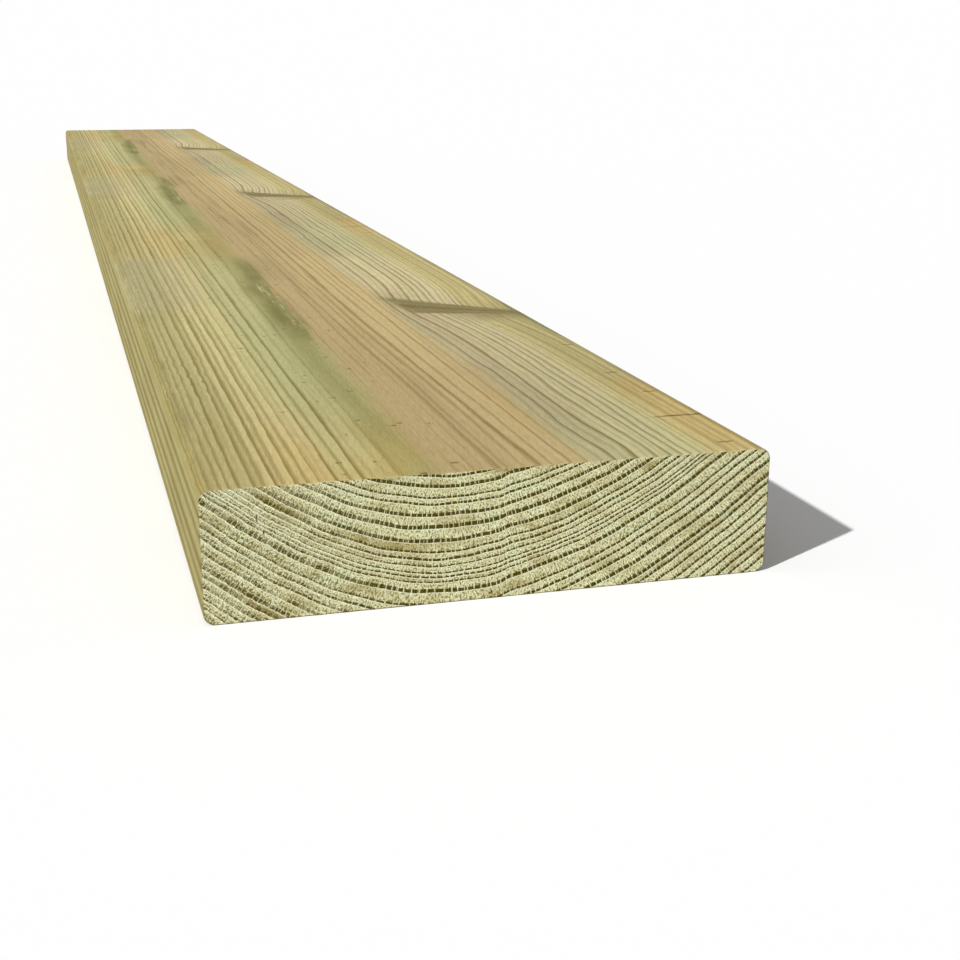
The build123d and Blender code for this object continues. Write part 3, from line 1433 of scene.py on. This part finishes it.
@dataclass
class Plank:
    """The whole plank: one skin over the section and both sawn ends, with the rings as shallow relief."""

    low: Vector
    high: Vector
    arris: float = 4 * MM
    across_count: int = 177
    up_count: int = 47
    along_count: int = 166
    grain_relief: float = 0.06 * MM
    end_relief: float = 0.08 * MM
    saw_ease: float = 0.3 * MM
    ridge_share: float = 0.85
    ridge_power: float = 1.5
    mean_ridge: float = 0.35
    crowding_fades: Span = (1.6, 3.6)
    sharp_degrees: float = 30.0
    far_end_ray_mm: float = 37.0
    knot_crowding: float = 2.4
    knot_reach: float = 60 * MM
    widest_spacing_mm: float = 40.0
    map_skin_width: float = 0.84
    end_map_left: float = 0.86
    end_map_width: float = 0.13
    end_map_length: float = 0.485
    end_map_margin: float = 0.005

    def __post_init__(self) -> None:
        """Works out the plank's sizes from its box, and sets up its repeat, knots, cracks and rings."""
        self.half_width = (self.high.x - self.low.x) / 2
        self.half_height = (self.high.z - self.low.z) / 2
        self.half_length = (self.high.y - self.low.y) / 2
        self.middle_z = (self.high.z + self.low.z) / 2
        self.repeat = Repeat()
        self.knots = SpikeKnots(self.repeat)
        self.cracks = DryingCracks(self.repeat)
        self.rings = GrowthRings(self.high.z, self.low.y, self.knots)

    def eased_side(self, half_run: float, half_rise: float, count: int) -> tuple[Array, Array, Array, Array]:
        """Lays points along one side of the section, from the middle of one eased corner to that of the next.

        A point's run past the straight stretch is an arc length, so it turns by that length over the radius.

        Args:
            half_run: Half the section's size along the side.
            half_rise: Half its size square to the side.
            count: Number of points.

        Returns:
            Places along the side and out from the middle, and the outward normal's two parts.
        """
        straight = half_run - self.arris
        end = straight + self.arris * math.pi / 4
        run = np.linspace(-end, end, count)
        angle = np.maximum(np.abs(run) - straight, 0.0) / self.arris
        sign = np.sign(run)
        along = sign * (np.minimum(np.abs(run), straight) + self.arris * np.sin(angle))
        out = half_rise - self.arris * (1.0 - np.cos(angle))
        return along, out, sign * np.sin(angle), np.cos(angle)

    def section(self) -> tuple[Array, Array]:
        """Joins the four sides to one closed loop, from the upper left corner on over the top.

        Returns:
            The loop's points and outward normals, as x and z.
        """
        flat = self.eased_side(self.half_width, self.half_height, self.across_count)
        upright = self.eased_side(self.half_height, self.half_width, self.up_count)
        points, normals = [], []
        quarter_turns = ((1, 0), (0, -1), (-1, 0), (0, 1))
        for side, (cosine, sine) in zip((flat, upright, flat, upright), quarter_turns):
            for along, out, kept in ((*side[:2], points), (*side[2:], normals)):
                turned = (cosine * along - sine * out, sine * along + cosine * out)
                kept.append(np.stack(turned, 1)[:-1])
        loop = np.concatenate(points)
        loop[:, 1] += self.middle_z
        return loop, np.concatenate(normals)

    def stations(self) -> Array:
        """Spaces the sections along the plank, closer together beside each knot by a bell curve.

        Returns:
            Their places.
        """
        sample_count = 4001
        fine = np.linspace(-self.half_length, self.half_length, sample_count)
        bell = np.exp(-0.5 * (self.repeat.along(fine, self.knots.first_y) / self.knot_reach) ** 2)
        count = np.cumsum(1.0 + self.knot_crowding * bell)
        even = np.linspace(count[0], count[-1], self.along_count)
        inner = np.interp(even, count, fine)
        near_ends = np.array([-self.half_length + self.saw_ease, self.half_length - self.saw_ease])
        grooves = self.cracks.stations(-self.half_length, self.half_length)
        return np.sort(np.concatenate([inner, near_ends, grooves]))

    def ridge(self, ring: Array, crowding: Array) -> Array:
        """Gives how far the wood stands proud, from 0 to 1: a smooth ridge on each dark line.

        Args:
            ring: Ring numbers.
            crowding: Rings from one point to the next, past which a ridge fades out.

        Returns:
            The height of the ridges.
        """
        wave = (0.5 + 0.5 * np.cos(2 * math.pi * (ring - self.ridge_share))) ** self.ridge_power
        most, slope = self.crowding_fades
        held = np.clip(most - slope * crowding, 0.0, 1.0)
        return wave * held + self.mean_ridge * (1.0 - held)

    def skin(self) -> SkinMesh:
        """Works out the whole skin: the section carried along the stations, and a patch over each end.

        Returns:
            The skin.
        """
        loop, normals = self.section()
        stations = self.stations()
        around, along = len(loop), len(stations)
        x = np.broadcast_to(loop[:, 0], (along, around))
        z = np.broadcast_to(loop[:, 1], (along, around))
        y = np.broadcast_to(stations[:, None], (along, around))
        ring = self.rings.number(x, y, z)
        step = np.roll(ring, -1, 1) - ring
        crowding = np.maximum(np.abs(step), np.abs(np.roll(step, 1, 1)))
        knot = self.knots.share(x, y, self.high.z - z)
        sunk = self.grain_relief * (1.0 - np.maximum(self.ridge(ring, crowding), knot))
        sunk = sunk + self.cracks.sunk(x, y, self.high.z - z)
        sunk[[0, -1]] += self.saw_ease
        shell = np.stack([x - normals[:, 0] * sunk, y, z - normals[:, 1] * sunk], 2)
        near_inner, near_rim = self.end_patch(shell[0], End.NEAR)
        far_inner, far_rim = self.end_patch(shell[-1], End.FAR)
        shell[0], shell[-1] = near_rim, far_rim
        points = np.concatenate([shell.reshape(-1, 3), near_inner.reshape(-1, 3), far_inner.reshape(-1, 3)])
        quads, cuts, corners = self.faces(loop, stations)
        return SkinMesh(points, quads, cuts, corners, self.fields(points, normals, along))

    def end_patch(self, rim: Array, end: End) -> tuple[Array, Array]:
        """Stretches a grid over one end between the four sides of its rim, and sinks it between the rings.

        The grid is the sum of the two straight blends between facing sides, less the blend of the corners.

        Args:
            rim: The last section's points, in the loop's order.
            end: Which end it is.

        Returns:
            The grid's inner points, and the rim with its own sinking.
        """
        across, up = self.across_count - 1, self.up_count - 1
        closed = np.concatenate([rim, rim[:1]])
        top = closed[: across + 1]
        right = closed[across : across + up + 1][::-1]
        bottom = closed[across + up : 2 * across + up + 1][::-1]
        left = closed[2 * across + up :]
        u = np.linspace(0.0, 1.0, across + 1)[:, None, None]
        v = np.linspace(0.0, 1.0, up + 1)[None, :, None]
        corners = (1 - u) * ((1 - v) * bottom[0] + v * top[0]) + u * ((1 - v) * bottom[-1] + v * top[-1])
        grid = (1 - v) * bottom[:, None] + v * top[:, None] + (1 - u) * left[None] + u * right[None] - corners
        ring = self.rings.number(grid[..., 0], grid[..., 1], grid[..., 2])
        slopes = np.gradient(ring)
        ridges = self.ridge(ring, np.maximum(np.abs(slopes[0]), np.abs(slopes[1])))
        facing = 1.0 if end is End.FAR else -1.0
        grid[..., 1] = facing * (self.half_length - self.end_relief * (1.0 - ridges))
        sunk_rim = np.concatenate([grid[:-1, -1], grid[-1, :0:-1], grid[:0:-1, 0], grid[0, :-1]])
        return grid[1:-1, 1:-1], sunk_rim

    def faces(self, loop: Array, stations: Array) -> tuple[Array, Array, Array]:
        """Joins the points with four-cornered faces and lays the faces out on the bake map.

        The long skin unrolls to one strip, and the two ends lie beside it.

        Args:
            loop: The section's points.
            stations: The sections' places along the plank.

        Returns:
            The faces' corners, their cuts and their places on the map.
        """
        shell, shell_map = self.shell_faces(loop, stations)
        ends = [self.end_faces(end, len(loop), len(stations)) for end in End]
        quads = np.concatenate([shell, *(end_quads for end_quads, _ in ends)])
        maps = np.concatenate([shell_map, *(end_map for _, end_map in ends)])
        cuts = np.full(len(quads), Surface.SAWN_END.value)
        cuts[: len(shell)] = Surface.PLANED_FACE.value
        return quads, cuts, maps

    def shell_faces(self, loop: Array, stations: Array) -> tuple[Array, Array]:
        """Joins each section to the next one and unrolls the skin on the map.

        Args:
            loop: The section's points.
            stations: The sections' places along the plank.

        Returns:
            The faces' corners and their places on the map.
        """
        around, along = len(loop), len(stations)
        i, j = (value.ravel() for value in np.meshgrid(np.arange(around), np.arange(along - 1)))
        after = (i + 1) % around
        this, following = j * around, (j + 1) * around
        quads = np.stack([this + i, this + after, following + after, following + i], 1)
        lengths = np.linalg.norm(np.roll(loop, -1, 0) - loop, axis=1)
        run = np.concatenate([[0.0], np.cumsum(lengths)]) / lengths.sum() * self.map_skin_width
        share = (stations + self.half_length) / (2 * self.half_length)
        corners = ((i, j), (i + 1, j), (i + 1, j + 1), (i, j + 1))
        return quads, np.stack([np.stack([run[a], share[b]], 1) for a, b in corners], 1)

    def end_points(self, end: End, around: int, along: int) -> Array:
        """Lists the points of one end's grid: the section's on its rim, and the end's own inside.

        Args:
            end: Which end it is.
            around: Number of points in a section.
            along: Number of sections.

        Returns:
            The points' places in the skin, by column and row of the grid.
        """
        across, up = self.across_count, self.up_count
        rim = end.value * (along - 1) * around + np.arange(around)
        inner_count = (across - 2) * (up - 2)
        inner = along * around + end.value * inner_count + np.arange(inner_count)
        grid = np.zeros((across, up), int)
        grid[:-1, -1] = rim[: across - 1]
        grid[-1, :0:-1] = rim[across - 1 : across + up - 2]
        grid[:0:-1, 0] = rim[across + up - 2 : 2 * across + up - 3]
        grid[0, :-1] = rim[2 * across + up - 3 :]
        grid[1:-1, 1:-1] = inner.reshape(across - 2, up - 2)
        return grid

    def end_faces(self, end: End, around: int, along: int) -> tuple[Array, Array]:
        """Joins the points of one end's grid, facing outward, and lays the end beside the skin on the map.

        Args:
            end: Which end it is.
            around: Number of points in a section.
            along: Number of sections.

        Returns:
            The faces' corners and their places on the map.
        """
        grid = self.end_points(end, around, along)
        across, up = self.across_count - 1, self.up_count - 1
        i, j = (value.ravel() for value in np.meshgrid(np.arange(across), np.arange(up), indexing="ij"))
        order = ((i, j), (i + 1, j), (i + 1, j + 1), (i, j + 1))
        if end is End.FAR:
            order = order[::-1]
        quads = np.stack([grid[a, b] for a, b in order], 1)
        foot = 0.5 * end.value + self.end_map_margin
        spots = [
            (self.end_map_left + self.end_map_width * b / up, foot + self.end_map_length * a / across)
            for a, b in order
        ]
        return quads, np.stack([np.stack(spot, 1) for spot in spots], 1)

    def fields(self, points: Array, normals: Array, along: int) -> dict[Field, Array]:
        """Works out the numbers that the skin carries on its points.

        The spacing of the rings is taken along the section on the planed faces and straight across the rings
        on the ends, and is one over the number of rings in a millimetre. The far end's rays are moved along,
        so that it is no copy of the near one.

        Args:
            points: The skin's points, section by section and then the ends' inner ones.
            normals: The section's outward normals, as x and z.
            along: Number of sections.

        Returns:
            The numbers, by name.
        """
        x, y, z = points.T
        number = self.rings.number(x, y, z)
        slope_x, slope_z = self.rings.slopes(x, y, z)
        crowding = np.hypot(slope_x, slope_z)
        faces = slice(len(normals), (along - 1) * len(normals))
        run_x, run_z = np.tile(normals, (along - 2, 1)).T[::-1]
        crowding[faces] = np.abs(slope_x[faces] * run_x - slope_z[faces] * run_z)
        return {
            Field.RING: number,
            Field.SPACING: 1.0 / np.maximum(crowding, 1.0 / self.widest_spacing_mm),
            Field.LINE: self.rings.dark_line(number),
            Field.RAY: self.rings.ray(x, z) + np.where(y > 0.0, self.far_end_ray_mm, 0.0),
        }

    def build(self) -> bpy.types.Object:
        """Puts the skin into a mesh with its carried numbers and finishes.

        Returns:
            The plank's object.
        """
        skin = self.skin()
        mesh = bpy.data.meshes.new("plank_timber")
        mesh.vertices.add(len(skin.points))
        mesh.vertices.foreach_set("co", skin.points.astype(np.float32).ravel())
        mesh.loops.add(skin.quads.size)
        mesh.loops.foreach_set("vertex_index", skin.quads.astype(np.int32).ravel())
        mesh.polygons.add(len(skin.quads))
        mesh.polygons.foreach_set("loop_start", np.arange(0, skin.quads.size, 4, dtype=np.int32))
        mesh.polygons.foreach_set("material_index", skin.cuts.astype(np.int32))
        mesh.polygons.foreach_set("use_smooth", np.ones(len(skin.quads), bool))
        mesh.update(calc_edges=True)
        mesh.validate()
        mesh.set_sharp_from_angle(angle=math.radians(self.sharp_degrees))
        bake_map = mesh.uv_layers.new(name="OFBake")
        bake_map.data.foreach_set("uv", skin.map_corners.astype(np.float32).ravel())
        for field, values in skin.fields.items():
            carried = mesh.attributes.new(field.value, "FLOAT", "POINT")
            carried.data.foreach_set("value", values.astype(np.float32))
        plank = bpy.data.objects.new("plank_timber", mesh)
        bpy.context.scene.collection.objects.link(plank)
        self.dress(plank)
        return plank

    def dress(self, plank: bpy.types.Object) -> None:
        """Gives the plank its two finishes, in the order of the cuts.

        Args:
            plank: The plank's object.
        """
        face = FaceGrainFinish(self.repeat, self.cracks, self.knots)
        plank.data.materials.append(face.material(self.half_width / MM, self.high.z / MM))
        plank.data.materials.append(EndGrainFinish().material())


@dataclass(frozen=True)
class Studio:
    """The plain white floor, the soft light and the camera."""

    floor_size: float = 120.0
    white: float = 0.995
    floor_bounce: float = 0.4
    sky_share: float = 0.31
    sun_travel: tuple[float, float, float] = (0.0567, 0.0338, -0.045)
    sun_width_degrees: float = 1.5
    eye: tuple[float, float, float] = (-0.13596, -1.42265, 0.17889)
    aim: tuple[float, float, float] = (0.13055, -0.50125, -0.10395)
    roll_degrees: float = 0.24
    field_degrees: float = 35.65
    sensor_mm: float = 36.0

    def floor(self) -> bpy.types.Object:
        """Lays a flat floor whose colour is white to the eye and greyer as a source of bounced light.

        Returns:
            The floor.
        """
        half = self.floor_size / 2
        mesh = bpy.data.meshes.new("studio_floor")
        corners = [(-half, -half, 0.0), (half, -half, 0.0), (half, half, 0.0), (-half, half, 0.0)]
        mesh.from_pydata(corners, [], [(0, 1, 2, 3)])
        material, graph = new_material("white_floor")
        bounce = (self.floor_bounce,) * 3 + (1.0,)
        white = (self.white,) * 3 + (1.0,)
        colour = graph.blend(self.seen(graph), bounce, white)
        shader = graph.node("ShaderNodeBsdfDiffuse", {}, {"Color": colour})
        graph.node("ShaderNodeOutputMaterial", {}, {"Surface": graph.out(shader, "BSDF")})
        mesh.materials.append(material)
        floor = bpy.data.objects.new("studio_floor", mesh)
        bpy.context.scene.collection.objects.link(floor)
        return floor

    def seen(self, graph: NodeGraph) -> Signal:
        """Is 1 for rays that show a thing to the eye, straight, in a reflection or through glass.

        Args:
            graph: The graph that asks.

        Returns:
            The share of such rays.
        """
        path = graph.node("ShaderNodeLightPath", {}, {})
        straight = Signal(graph, path.outputs["Is Camera Ray"])
        reflected = Signal(graph, path.outputs["Is Glossy Ray"])
        through = Signal(graph, path.outputs["Is Transmission Ray"])
        return straight.at_least(reflected).at_least(through)

    def lights(self) -> None:
        """Adds a sun for the cast shadow and an even sky, which together light a level face at 1."""
        travel = Vector(self.sun_travel).normalized()
        lamp = bpy.data.lights.new("key_light", "SUN")
        lamp.energy = (1.0 - self.sky_share) * math.pi / -travel.z
        lamp.angle = math.radians(self.sun_width_degrees)
        key = bpy.data.objects.new("key_light", lamp)
        key.rotation_mode = "QUATERNION"
        key.rotation_quaternion = travel.to_track_quat("-Z", "Y")
        bpy.context.scene.collection.objects.link(key)
        world = bpy.data.worlds.new("studio_sky")
        world.use_nodes = True
        bpy.context.scene.world = world
        graph = NodeGraph(world.node_tree)
        strength = self.sky_share + (self.white - self.sky_share) * self.seen(graph)
        sky = graph.node("ShaderNodeBackground", {}, {"Color": (1.0, 1.0, 1.0, 1.0), "Strength": strength})
        graph.node("ShaderNodeOutputWorld", {}, {"Surface": graph.out(sky, "Background")})

    def camera(self) -> bpy.types.Object:
        """Stands the camera at the near end's left, looking down along the plank.

        Returns:
            The camera.
        """
        data = bpy.data.cameras.new("camera")
        data.sensor_width = self.sensor_mm
        data.lens = data.sensor_width / 2 / math.tan(math.radians(self.field_degrees) / 2)
        data.clip_end = 2 * self.floor_size
        camera = bpy.data.objects.new("camera", data)
        sight = Vector(self.aim) - Vector(self.eye)
        turn = sight.to_track_quat("-Z", "Y").to_matrix()
        roll = Matrix.Rotation(math.radians(self.roll_degrees), 3, "Z")
        camera.matrix_world = Matrix.Translation(self.eye) @ (turn @ roll).to_4x4()
        bpy.context.scene.collection.objects.link(camera)
        bpy.context.scene.camera = camera
        return camera


def main() -> None:
    """Builds the plank on its frame, then the studio."""
    logging.basicConfig(level=logging.INFO, format="%(name)s: %(message)s")
    bpy.context.scene.view_settings.view_transform = "Standard"
    plank = Plank(*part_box("plank")).build()
    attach(plank, "root")
    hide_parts("plank")
    log.info("%s: %d points, %d faces", plank.name, len(plank.data.vertices), len(plank.data.polygons))
    studio = Studio()
    log.info("%s", studio.floor().name)
    studio.lights()
    log.info("%s", studio.camera().name)


if __name__ == "__main__":
    main()
